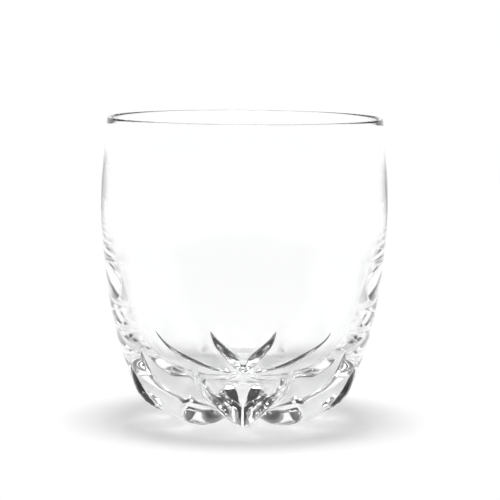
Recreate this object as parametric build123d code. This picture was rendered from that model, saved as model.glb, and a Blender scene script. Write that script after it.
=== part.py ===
"""Whiskey tumbler: one piece of clear glass on a ring of eight keel shaped feet.

Units are millimetres, +Z is up and the origin is the centre of the base on the
surface the tumbler stands on. One foot points to -Y.
"""
import os
from math import cos, radians, sin, tan

from build123d import *

# Driving dimensions
RIM_HEIGHT = 95.9       # floor to the top of the rim
RIM_RADIUS = 43.3       # outside of the rim
RIM_WALL = 1.4          # glass thickness at the rim, fully rounded over
BELLY_RADIUS = 45.25    # widest part of the barrel
BELLY_HEIGHT = 69.0
FOOT_RADIUS = 13.0      # distance from the axis to where a foot touches the table
FOOT_FLAT = 0.35        # height taken off each foot to leave a small resting face
FEET = 8
CAVITY_FLOOR = 8.2      # height of the inside bottom of the bowl
PUNT_HEIGHT = 2.1       # dome under the middle of the base
GROOVE_HALF_ANGLE = 50  # half of the opening angle of each groove between two feet
GROOVE_REACH = 12.0     # how far the groove cutter stands out of the glass
GROOVE_ROUND = 3.0      # radius in the bottom of the groove

# Outside of the barrel from the rim down to the axis, as radius and height.
OUTSIDE = [
    (RIM_RADIUS, RIM_HEIGHT - RIM_WALL / 2),
    (44.2, 84.2),
    (BELLY_RADIUS, BELLY_HEIGHT),
    (44.6, 55.7),
    (42.8, 40.4),
    (39.55, 25.0),
    (35.8, 13.4),
    (33.0, 7.7),
    (29.8, 4.5),
    (26.6, 2.6),
    (22.0, 0.95),
    (17.5, 0.0),
    (FOOT_RADIUS, -FOOT_FLAT),
    (9.0, 0.2),
    (4.5, 1.5),
    (0.0, PUNT_HEIGHT),
]

# Inside of the bowl from the rim down to the axis.
INSIDE = [
    (RIM_RADIUS - RIM_WALL, RIM_HEIGHT - RIM_WALL / 2),
    (42.8, 84.2),
    (43.3, BELLY_HEIGHT),
    (42.0, 54.9),
    (39.1, 42.6),
    (34.6, 28.5),
    (26.0, 15.5),
    (14.0, 9.4),
    (0.0, CAVITY_FLOOR),
]

# Bottom line of a groove, from above its upper tip down and in to the axis.
GROOVE_LINE = [
    (46.5, 48.0),
    (43.6, 38.0),
    (41.2, 29.5),
    (38.4, 21.0),
    (34.8, 15.0),
    (28.6, 10.6),
    (21.3, 6.8),
    (17.0, 4.3),
    (13.0, 2.8),
    (8.0, 2.35),
    (0.5, 2.3),
]


def profile_point(pair):
    """A radius and height as a point of the XZ plane."""
    radius, height = pair
    return (radius, 0, height)


def turned_glass():
    """The barrel as it would be with no grooves, hollow and with a round rim."""
    outer = [profile_point(p) for p in OUTSIDE]
    inner = [profile_point(p) for p in INSIDE]
    with BuildSketch(Plane.XZ) as sketch:
        with BuildLine():
            Spline(*[(p[0], p[2]) for p in outer], tangents=[(0.05, -1), (-1, 0)])
            Spline(*[(p[0], p[2]) for p in inner], tangents=[(0.05, -1), (-1, 0)])
            ThreePointArc(
                (outer[0][0], outer[0][2]),
                (RIM_RADIUS - RIM_WALL / 2, RIM_HEIGHT),
                (inner[0][0], inner[0][2]),
            )
            Line((0, PUNT_HEIGHT), (0, CAVITY_FLOOR))
        make_face()
    return revolve(sketch.sketch, axis=Axis.Z)


def groove_section():
    """The V with a round bottom that is carried along a groove, opening to +Y."""
    lean = radians(GROOVE_HALF_ANGLE)
    side = GROOVE_ROUND * cos(lean)
    lift = GROOVE_ROUND * (1 - sin(lean))
    wide = side + (GROOVE_REACH - lift) * tan(lean)
    with BuildSketch() as sketch:
        with BuildLine():
            ThreePointArc((-side, lift), (0, 0), (side, lift))
            Polyline((side, lift), (wide, GROOVE_REACH), (-wide, GROOVE_REACH), (-side, lift))
        make_face()
    return sketch.sketch


def groove_cutter():
    """The bar of groove section that follows the bottom line of a groove."""
    path = Spline(*[profile_point(p) for p in GROOVE_LINE])
    forward = path % 0
    outward = Vector(-forward.Z, 0, forward.X)
    if outward.X < 0:
        outward = -outward
    across = outward.cross(forward)
    start = Plane(origin=path @ 0, x_dir=across, z_dir=forward)
    return sweep(start * groove_section(), path=path)


def build_tumbler():
    """Cut the grooves from the barrel and level the feet."""
    glass = turned_glass()
    cutter = groove_cutter()
    for index in range(FEET):
        turn = -90 + 360 / FEET * (index + 0.5)
        glass -= Rot(0, 0, turn) * cutter
    below = Pos(0, 0, -5) * Box(120, 120, 10)
    glass -= below
    return glass


os.makedirs("parts", exist_ok=True)
tumbler = build_tumbler()
tumbler.label = "glass_tumbler"
export_step(tumbler, "parts/glass_tumbler.step")
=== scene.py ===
import math

import bpy
import numpy as np
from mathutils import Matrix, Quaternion, Vector


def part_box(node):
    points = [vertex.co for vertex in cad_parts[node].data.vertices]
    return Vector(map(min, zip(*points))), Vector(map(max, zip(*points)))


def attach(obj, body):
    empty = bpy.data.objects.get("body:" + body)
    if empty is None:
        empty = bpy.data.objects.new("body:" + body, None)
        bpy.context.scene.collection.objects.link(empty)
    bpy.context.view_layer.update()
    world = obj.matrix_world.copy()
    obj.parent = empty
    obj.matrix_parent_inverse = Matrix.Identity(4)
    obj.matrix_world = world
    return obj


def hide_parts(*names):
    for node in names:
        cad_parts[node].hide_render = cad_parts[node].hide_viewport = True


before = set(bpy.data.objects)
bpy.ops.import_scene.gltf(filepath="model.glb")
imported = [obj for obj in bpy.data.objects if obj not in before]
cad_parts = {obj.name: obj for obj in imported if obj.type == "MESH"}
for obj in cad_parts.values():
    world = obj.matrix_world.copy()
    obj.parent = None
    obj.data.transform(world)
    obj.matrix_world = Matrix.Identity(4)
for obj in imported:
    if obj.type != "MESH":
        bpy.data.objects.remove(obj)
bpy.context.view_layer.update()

MM = 0.001
FEET = 8
PER_FOOT = 44           # mesh columns to each foot

# Outside of the glass from the rim to the middle of the base, radius and height in mm.
OUTSIDE = [
    (43.3, 95.2), (44.2, 84.2), (45.25, 69.0), (44.6, 55.7), (42.8, 40.4),
    (39.55, 25.0), (35.8, 13.4), (33.0, 7.7), (29.8, 4.5), (26.6, 2.6),
    (22.0, 0.95), (17.5, 0.0), (13.0, -0.35), (9.0, 0.2), (4.5, 1.5), (0.0, 2.1),
]
# Inside of the bowl from the rim to the middle of its floor.
INSIDE = [
    (41.9, 95.2), (42.8, 84.2), (43.3, 69.0), (42.0, 54.9), (39.1, 42.6),
    (34.6, 28.5), (26.0, 15.5), (14.0, 9.4), (0.0, 8.2),
]
# Bottom line of the groove between two feet.
GROOVE_LINE = [
    (46.5, 48.0), (43.6, 38.0), (41.2, 29.5), (38.4, 21.0), (34.8, 15.0),
    (28.6, 10.6), (21.3, 6.8), (17.0, 4.3), (13.0, 2.8), (8.0, 2.35), (0.5, 2.3),
]
GROOVE_LEAN = math.radians(50)  # lean of each groove side from the middle plane of the groove
GROOVE_ROUND = 3.0      # mm, radius of the groove bottom
EDGE_SOFT = 0.12        # mm of rounding where a groove leaves the barrel
KEEL_SOFT = 0.25        # mm of rounding over the keel of a foot
RIM_WALL = 1.4          # mm of glass at the rim
RIM_STEPS = 8           # mesh steps over the rounded rim
LINE_POINTS = 4000      # samples of an outline before its rows are picked
GROOVE_POINTS = 160     # samples of the groove line
CUT_STEPS = 9           # rounds of working out how deep the groove cuts
CUT_SHARE = 0.8         # share of the remaining depth taken in each round
FINE_COLUMNS = 1441     # columns over a foot while its edges are rounded
COLUMN_PULL = 0.12      # how strongly mesh columns crowd to keel and groove

# Mesh row spacing in mm: (height above which it holds, spacing), from the top down.
OUTSIDE_ROWS = [(46, 2.2), (28, 0.9), (-1, 0.5)]
INSIDE_ROWS = [(50, 2.4), (-1, 1.2)]

GLASS_IOR = 1.52
GLASS_TINT = (0.985, 0.992, 0.99, 1)
WAVE_STRENGTH = 0.02    # slow waves in the surface
RIPPLE_STRENGTH = 0.08  # rings left by the mould
BUMP_HEIGHT = 0.0002    # metres, for both of them
HAZE = 0.001            # most roughness that the uneven haze adds

PAPER = 0.9             # whiteness of the table paper
PAPER_GRAIN = 0.995     # share of it that the dark grains keep
TABLE_RADIUS = 0.9
PAINTED_TABLE_GLOW = (0.42, 0.65)  # painted light given off by the paper under the glass and at its edge
PAINTED_GLOW_FROM = 0.2         # metres from the middle where the painted glow starts to grow
TABLE_RINGS = [0.3, 0.6, TABLE_RADIUS]
TABLE_SIDES = 96
TABLE_DROP = 0.00003    # metres between the paper and the feet

SOFTBOX_SIZE = (0.5, 0.38)
SOFTBOX_AT = (0, 0.05, 1.6)
SOFTBOX_AIM = (0, 0, 0.05)
SOFTBOX_POWER = 14      # watts

# The surroundings. Heights are the sine of the angle over the horizon.
LIGHT_LEVEL = 1.01
DARK_ROOM = 0.02
WALL_TOP = (0.21, 0.25)    # where the white wall fades out
PANEL_TOP = (0.70, 0.80)   # where the side panels fade out
# (degrees round from the far side, brightness), the same on the left and the right
PANELS = [(0, 0.02), (70, 0.02), (76, 0.8), (100, 0.8), (106, 0.02), (180, 0.02)]

CAMERA_AWAY = 0.650     # metres from the axis of the glass
CAMERA_HIGH = 0.1306
CAMERA_SENSOR = 36      # mm
CAMERA_LENS = 148.968   # mm
CAMERA_DOWN = 6.74      # degrees of tilt below level
CAMERA_ASIDE = -0.167   # degrees turned to the side
CAMERA_LEAN = 0.5       # degrees rolled
LIGHT_BOUNCES = 24      # enough for light to find its way out of the thick base


def smooth_line(points, count, start, end):
    """Cubic spline through points with set end directions, sampled count times."""
    p = np.asarray(points, float)
    t = np.r_[0, np.cumsum(np.hypot(*np.diff(p, axis=0).T))]
    h = np.diff(t)
    n = len(p)
    a = np.zeros((n, n))
    b = np.zeros((n, 2))
    for i in range(1, n - 1):
        a[i, i - 1:i + 2] = h[i], 2 * (h[i - 1] + h[i]), h[i - 1]
        b[i] = 3 * (h[i] / h[i - 1] * (p[i] - p[i - 1]) + h[i - 1] / h[i] * (p[i + 1] - p[i]))
    a[0, 0] = a[-1, -1] = 1
    b[0], b[-1] = start, end
    slope = np.linalg.solve(a, b)
    s = np.linspace(0, t[-1], count)
    i = np.clip(np.searchsorted(t, s, side="right") - 1, 0, n - 2)
    u = ((s - t[i]) / h[i])[:, None]
    hh = h[i][:, None]
    out = (2 * u**3 - 3 * u**2 + 1) * p[i] + (u**3 - 2 * u**2 + u) * hh * slope[i]
    return out + (3 * u**2 - 2 * u**3) * p[i + 1] + (u**3 - u**2) * hh * slope[i + 1]


def evenly(line, spacing):
    """Resample a line so that the step between points is spacing(radius, height)."""
    s = np.r_[0, np.cumsum(np.hypot(*np.diff(line, axis=0).T))]
    weight = np.r_[0, np.cumsum(np.diff(s) / spacing(line[1:, 0], line[1:, 1]))]
    count = int(math.ceil(weight[-1])) + 1
    at = np.interp(np.linspace(0, weight[-1], count), weight, s)
    return np.c_[np.interp(at, s, line[:, 0]), np.interp(at, s, line[:, 1])]


def row_spacing(steps):
    """Row spacing by height, for evenly(), from a list of (height above which it holds, spacing)."""
    heights = [height for height, _ in steps]
    spacings = [spacing for _, spacing in steps]
    return lambda r, z: np.select([z > height for height in heights], spacings)


def line_distance(points, line):
    """Distance of each point to the groove line, positive outside it."""
    best = np.full(len(points), 1e9)
    sign = np.zeros(len(points))
    for a, b in zip(line[:-1], line[1:]):
        ab, ap = b - a, points - a
        t = np.clip(ap @ ab / (ab @ ab), 0, 1)
        d = np.hypot(*(ap - t[:, None] * ab).T)
        near = d < best
        best[near] = d[near]
        sign[near] = np.sign(ab[0] * ap[near, 1] - ab[1] * ap[near, 0])
    return best * sign


def groove_rise(across):
    """How far the side of the groove stands over its bottom line."""
    side = GROOVE_ROUND * math.cos(GROOVE_LEAN)
    lift = GROOVE_ROUND * (1 - math.sin(GROOVE_LEAN))
    bottom = GROOVE_ROUND - np.sqrt(np.maximum(GROOVE_ROUND**2 - across**2, 0))
    return np.where(across <= side, bottom, lift + (across - side) / math.tan(GROOVE_LEAN))


def groove_depth(line, normal, angles):
    """Depth of the cut below the turned outside, for each row and each angle from a foot."""
    groove = smooth_line(GROOVE_LINE, GROOVE_POINTS, (-0.22, -0.97), (-1, 0))
    depth = np.zeros((len(line), len(angles)))
    for column, angle in enumerate(angles):
        turn = math.pi / FEET - angle

        def inside(d):
            p = line - normal * d[:, None]
            q = np.c_[p[:, 0] * math.cos(turn), p[:, 1]]
            return line_distance(q, groove) - groove_rise(np.abs(p[:, 0] * math.sin(turn)))

        first = inside(np.zeros(len(line)))
        d = np.maximum(first, 0)
        for _ in range(CUT_STEPS):
            d = np.maximum(d + CUT_SHARE * inside(d), 0)
        k = EDGE_SOFT
        eased = (np.clip(first, -k, k) + k) ** 2 / (4 * k)
        ratio = np.where(first > 1e-6, d / np.maximum(first, 1e-6), 1.0)
        depth[:, column] = np.where(first > k, d, eased * ratio)
    return depth


def soften_keels(depth, radius, angles):
    """Round the keel of each foot and the bottom of each groove by KEEL_SOFT."""
    full = np.concatenate([depth[:, :0:-1], depth], axis=1)
    at = np.concatenate([-angles[:0:-1], angles])
    fine = np.linspace(at[0], at[-1], FINE_COLUMNS)
    out = depth.copy()
    for row in range(len(radius)):
        step = (fine[1] - fine[0]) * max(radius[row], 0.5)
        reach = min(int(3 * KEEL_SOFT / step) + 1, 700)
        kernel = np.exp(-0.5 * (np.arange(-reach, reach + 1) * step / KEEL_SOFT) ** 2)
        dense = np.interp(fine, at, full[row])
        padded = np.concatenate([dense[-reach - 1:-1], dense, dense[1:reach + 1]])
        smooth = np.convolve(padded, kernel / kernel.sum(), mode="valid")
        out[row] = np.interp(angles, fine, smooth)
    return out


def foot_columns():
    """Angles of the columns over half a foot, then angle and column number over the whole turn."""
    half = PER_FOOT // 2 + 1
    u = np.linspace(0, 1, half)
    angles = (u - COLUMN_PULL * np.sin(2 * np.pi * u)) * math.pi / FEET
    column = np.arange(PER_FOOT)
    column = np.where(column < half, column, PER_FOOT - column)
    one_foot = angles[column] * np.where(np.arange(PER_FOOT) < half, 1, -1)
    around = np.concatenate([one_foot + k * 2 * math.pi / FEET for k in range(FEET)])
    order = np.argsort(np.mod(around, 2 * math.pi))
    return angles, np.mod(around, 2 * math.pi)[order], np.tile(column, FEET)[order]


def glass_rows():
    """Rings of the glass as (radius, height) arrays over one turn of columns."""
    angles, around, columns = foot_columns()
    outer = smooth_line(OUTSIDE, LINE_POINTS, (0.05, -1), (-1, 0))
    outer = evenly(outer, row_spacing(OUTSIDE_ROWS))
    slope = np.gradient(outer, axis=0)
    slope /= np.linalg.norm(slope, axis=1)[:, None]
    normal = np.c_[-slope[:, 1], slope[:, 0]]
    depth = groove_depth(outer, normal, angles)
    depth = soften_keels(depth, outer[:, 0], angles)
    cut = depth[:, columns]
    radius = np.maximum(outer[:, :1] - normal[:, :1] * cut, 0)
    height = np.maximum(outer[:, 1:] - normal[:, 1:] * cut, 0)
    inner = smooth_line(INSIDE, LINE_POINTS, (0.05, -1), (-1, 0))
    inner = evenly(inner, row_spacing(INSIDE_ROWS))
    rows = []
    for r, z in inner[-2::-1]:
        rows.append((np.full(len(around), r), np.full(len(around), z)))
    for k in range(1, RIM_STEPS):
        a = math.pi * k / RIM_STEPS
        r = OUTSIDE[0][0] - RIM_WALL / 2 - RIM_WALL / 2 * math.cos(a)
        z = OUTSIDE[0][1] + RIM_WALL / 2 * math.sin(a)
        rows.append((np.full(len(around), r), np.full(len(around), z)))
    rows += [(radius[i], height[i]) for i in range(len(outer) - 1)]
    return around, rows, inner[-1, 1], float(height[-1].mean())


def glass_mesh():
    """The tumbler as one closed mesh, a foot towards -Y."""
    around, rows, floor_height, punt_height = glass_rows()
    n = len(around)
    sine, cosine = np.sin(around), -np.cos(around)
    rings = [np.c_[r * sine, r * cosine, z] for r, z in rows]
    low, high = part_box("glass_tumbler")
    widest = max(np.hypot(ring[:, 0], ring[:, 1]).max() for ring in rings) * MM
    fit = min(1.0, (high.x - low.x) / 2 / widest, (high.y - low.y) / 2 / widest)
    points = np.vstack(rings + [[[0, 0, floor_height], [0, 0, punt_height]]]) * MM
    points[:, :2] *= fit
    points[:, 2] = np.minimum(points[:, 2], high.z)
    i0 = np.arange(n)
    i1 = (i0 + 1) % n
    starts = [k * n for k in range(len(rows) - 1)]
    quads = [np.c_[at + i1, at + i0, at + n + i0, at + n + i1] for at in starts]
    faces = np.vstack(quads).tolist()
    last = (len(rows) - 1) * n
    centre = len(rows) * n
    faces += [(centre, int(a), int(b)) for a, b in zip(i0, i1)]
    faces += [(centre + 1, int(last + b), int(last + a)) for a, b in zip(i0, i1)]
    mesh = bpy.data.meshes.new("tumbler_glass")
    mesh.from_pydata(points.tolist(), [], faces)
    mesh.update()
    mesh.polygons.foreach_set("use_smooth", np.ones(len(mesh.polygons), bool))
    return mesh


def node(tree, kind, **values):
    """Add a shader node and set its inputs by name."""
    made = tree.nodes.new(kind)
    for name, value in values.items():
        made.inputs[name.replace("_", " ")].default_value = value
    return made


def glass_material():
    """Clear pressed glass: faint waves, rings left by the mould and a trace of uneven haze."""
    material = bpy.data.materials.new("clear_glass")
    material.use_nodes = True
    tree = material.node_tree
    shader = tree.nodes["Principled BSDF"]
    shader.inputs["IOR"].default_value = GLASS_IOR
    shader.inputs["Transmission Weight"].default_value = 1.0
    place = tree.nodes.new("ShaderNodeTexCoord")
    wave = node(tree, "ShaderNodeTexNoise", Scale=38.0, Detail=2.0, Roughness=0.4)
    bump = node(tree, "ShaderNodeBump", Strength=WAVE_STRENGTH, Distance=BUMP_HEIGHT)
    rings = node(tree, "ShaderNodeTexWave", Scale=60.0, Distortion=3.0, Detail=1.0)
    rings.wave_type = "RINGS"
    rings.rings_direction = "Z"
    ripple = node(tree, "ShaderNodeBump", Strength=RIPPLE_STRENGTH, Distance=BUMP_HEIGHT)
    haze = node(tree, "ShaderNodeTexNoise", Scale=210.0, Detail=3.0, Roughness=0.6)
    rough = node(tree, "ShaderNodeMapRange", From_Min=0.35, From_Max=0.75, To_Min=0.0, To_Max=HAZE)
    tint = tree.nodes.new("ShaderNodeValToRGB")
    tint.color_ramp.elements[0].color = GLASS_TINT
    tint.color_ramp.elements[1].color = (1, 1, 1, 1)
    link = tree.links.new
    link(place.outputs["Object"], wave.inputs["Vector"])
    link(place.outputs["Object"], haze.inputs["Vector"])
    link(place.outputs["Object"], rings.inputs["Vector"])
    link(rings.outputs["Fac"], ripple.inputs["Height"])
    link(ripple.outputs["Normal"], bump.inputs["Normal"])
    link(wave.outputs["Fac"], bump.inputs["Height"])
    link(bump.outputs["Normal"], shader.inputs["Normal"])
    link(haze.outputs["Fac"], rough.inputs["Value"])
    link(rough.outputs["Result"], shader.inputs["Roughness"])
    link(wave.outputs["Fac"], tint.inputs["Fac"])
    link(tint.outputs["Color"], shader.inputs["Base Color"])
    return material


def paper_material():
    """Matt white studio paper with a barely visible grain, and painted light given off by it that
    grows towards its edge.
    """
    material = bpy.data.materials.new("studio_paper_painted_glow")
    material.use_nodes = True
    tree = material.node_tree
    shader = tree.nodes["Principled BSDF"]
    shader.inputs["Roughness"].default_value = 0.8
    shader.inputs["Specular IOR Level"].default_value = 0.2
    shader.inputs["Emission Color"].default_value = (1, 1, 1, 1)
    grain = node(tree, "ShaderNodeTexNoise", Scale=900.0, Detail=2.0)
    tone = tree.nodes.new("ShaderNodeValToRGB")
    dark = PAPER * PAPER_GRAIN
    tone.color_ramp.elements[0].color = (dark, dark, dark, 1)
    tone.color_ramp.elements[1].color = (PAPER, PAPER, PAPER, 1)
    place = tree.nodes.new("ShaderNodeTexCoord")
    out = tree.nodes.new("ShaderNodeVectorMath")
    out.operation = "LENGTH"
    # painted light: the paper glows, more towards its edge
    painted_glow = node(tree, "ShaderNodeMapRange", From_Min=PAINTED_GLOW_FROM, From_Max=TABLE_RADIUS)
    painted_glow.inputs["To Min"].default_value, painted_glow.inputs["To Max"].default_value = PAINTED_TABLE_GLOW
    link = tree.links.new
    link(place.outputs["Object"], out.inputs[0])
    link(out.outputs["Value"], painted_glow.inputs["Value"])
    link(painted_glow.outputs["Result"], shader.inputs["Emission Strength"])
    link(place.outputs["Object"], grain.inputs["Vector"])
    link(grain.outputs["Fac"], tone.inputs["Fac"])
    link(tone.outputs["Color"], shader.inputs["Base Color"])
    return material


def paper_floor():
    """A wide round sheet of paper that the tumbler stands on."""
    count = TABLE_SIDES
    points = [(0, 0, 0)]
    for radius in TABLE_RINGS:
        for k in range(count):
            a = 2 * math.pi * k / count
            points.append((radius * math.cos(a), radius * math.sin(a), 0))
    faces = [(0, 1 + k, 1 + (k + 1) % count) for k in range(count)]
    for ring in range(len(TABLE_RINGS) - 1):
        base = 1 + ring * count
        for k in range(count):
            k2 = (k + 1) % count
            faces.append((base + k, base + count + k, base + count + k2, base + k2))
    mesh = bpy.data.meshes.new("paper_floor")
    mesh.from_pydata(points, [], faces)
    mesh.materials.append(paper_material())
    floor = bpy.data.objects.new("paper_floor", mesh)
    floor.location.z = -TABLE_DROP
    bpy.context.scene.collection.objects.link(floor)


def ramp_of(tree, stops):
    """A colour ramp through (share of the way, grey level) stops."""
    ramp = tree.nodes.new("ShaderNodeValToRGB")
    marks = ramp.color_ramp.elements
    while len(marks) < len(stops):
        marks.new(0.5)
    for mark, (share, _) in zip(marks, stops):
        mark.position = share
    for mark, (_, level) in zip(marks, stops):
        mark.color = (level, level, level, 1)
    return ramp


def grey_mix(tree, height, limits, below, level):
    """Change from the colour below to a grey level between two heights of the sky."""
    share = node(tree, "ShaderNodeMapRange", From_Min=limits[0], From_Max=limits[1])
    mix = tree.nodes.new("ShaderNodeMix")
    mix.data_type = "RGBA"
    mix.inputs["B"].default_value = (level, level, level, 1)
    tree.links.new(height, share.inputs["Value"])
    tree.links.new(share.outputs["Result"], mix.inputs["Factor"])
    tree.links.new(below, mix.inputs["A"])
    return mix.outputs["Result"]


def studio_light():
    """A low white wall all round, white panels at the sides and a dark room above them."""
    world = bpy.data.worlds.new("studio")
    bpy.context.scene.world = world
    world.use_nodes = True
    tree = world.node_tree
    ground = tree.nodes["Background"]
    place = tree.nodes.new("ShaderNodeTexCoord")
    split = tree.nodes.new("ShaderNodeSeparateXYZ")
    turn = tree.nodes.new("ShaderNodeMath")
    turn.operation = "ARCTAN2"
    size = tree.nodes.new("ShaderNodeMath")
    size.operation = "ABSOLUTE"
    part = node(tree, "ShaderNodeMapRange", From_Min=0.0, From_Max=math.pi)
    panels = ramp_of(tree, [(angle / 180, level) for angle, level in PANELS])
    link = tree.links.new
    link(place.outputs["Generated"], split.inputs["Vector"])
    link(split.outputs["X"], turn.inputs[0])
    link(split.outputs["Y"], turn.inputs[1])
    link(turn.outputs[0], size.inputs[0])
    link(size.outputs[0], part.inputs["Value"])
    link(part.outputs["Result"], panels.inputs["Fac"])
    height = split.outputs["Z"]
    under_top = grey_mix(tree, height, PANEL_TOP, panels.outputs["Color"], DARK_ROOM)
    down = (WALL_TOP[1], WALL_TOP[0])
    link(grey_mix(tree, height, down, under_top, 1.0), ground.inputs["Color"])
    ground.inputs["Strength"].default_value = LIGHT_LEVEL


def softbox():
    """The light over the table: one large soft rectangle."""
    data = bpy.data.lights.new("softbox", "AREA")
    data.shape = "RECTANGLE"
    data.size, data.size_y = SOFTBOX_SIZE
    data.energy = SOFTBOX_POWER
    lamp = bpy.data.objects.new("softbox", data)
    lamp.location = SOFTBOX_AT
    aim = Vector(SOFTBOX_AIM) - Vector(SOFTBOX_AT)
    lamp.rotation_mode = "QUATERNION"
    lamp.rotation_quaternion = aim.to_track_quat("-Z", "Y")
    bpy.context.scene.collection.objects.link(lamp)


def photo_camera():
    """The camera, matched to the viewing angle of the photograph."""
    data = bpy.data.cameras.new("camera")
    camera = bpy.data.objects.new("camera", data)
    bpy.context.scene.collection.objects.link(camera)
    data.sensor_width = CAMERA_SENSOR
    data.lens = CAMERA_LENS
    data.clip_start = 0.01
    camera.location = (0, -CAMERA_AWAY, CAMERA_HIGH)
    down = math.radians(CAMERA_DOWN)
    ahead = Vector((0, math.cos(down), -math.sin(down))).to_track_quat("-Z", "Y")
    aside = Quaternion((0, 0, 1), math.radians(CAMERA_ASIDE))
    lean = Quaternion((0, 0, 1), math.radians(CAMERA_LEAN))
    camera.rotation_mode = "QUATERNION"
    camera.rotation_quaternion = aside @ ahead @ lean
    bpy.context.scene.camera = camera


glass = bpy.data.objects.new("tumbler_glass", glass_mesh())
glass.data.materials.append(glass_material())
bpy.context.scene.collection.objects.link(glass)
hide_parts("glass_tumbler")
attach(glass, "root")

paper_floor()
studio_light()
softbox()
photo_camera()
scene = bpy.context.scene
scene.view_settings.view_transform = "Standard"
scene.cycles.max_bounces = LIGHT_BOUNCES
scene.cycles.transmission_bounces = LIGHT_BOUNCES
scene.cycles.glossy_bounces = LIGHT_BOUNCES
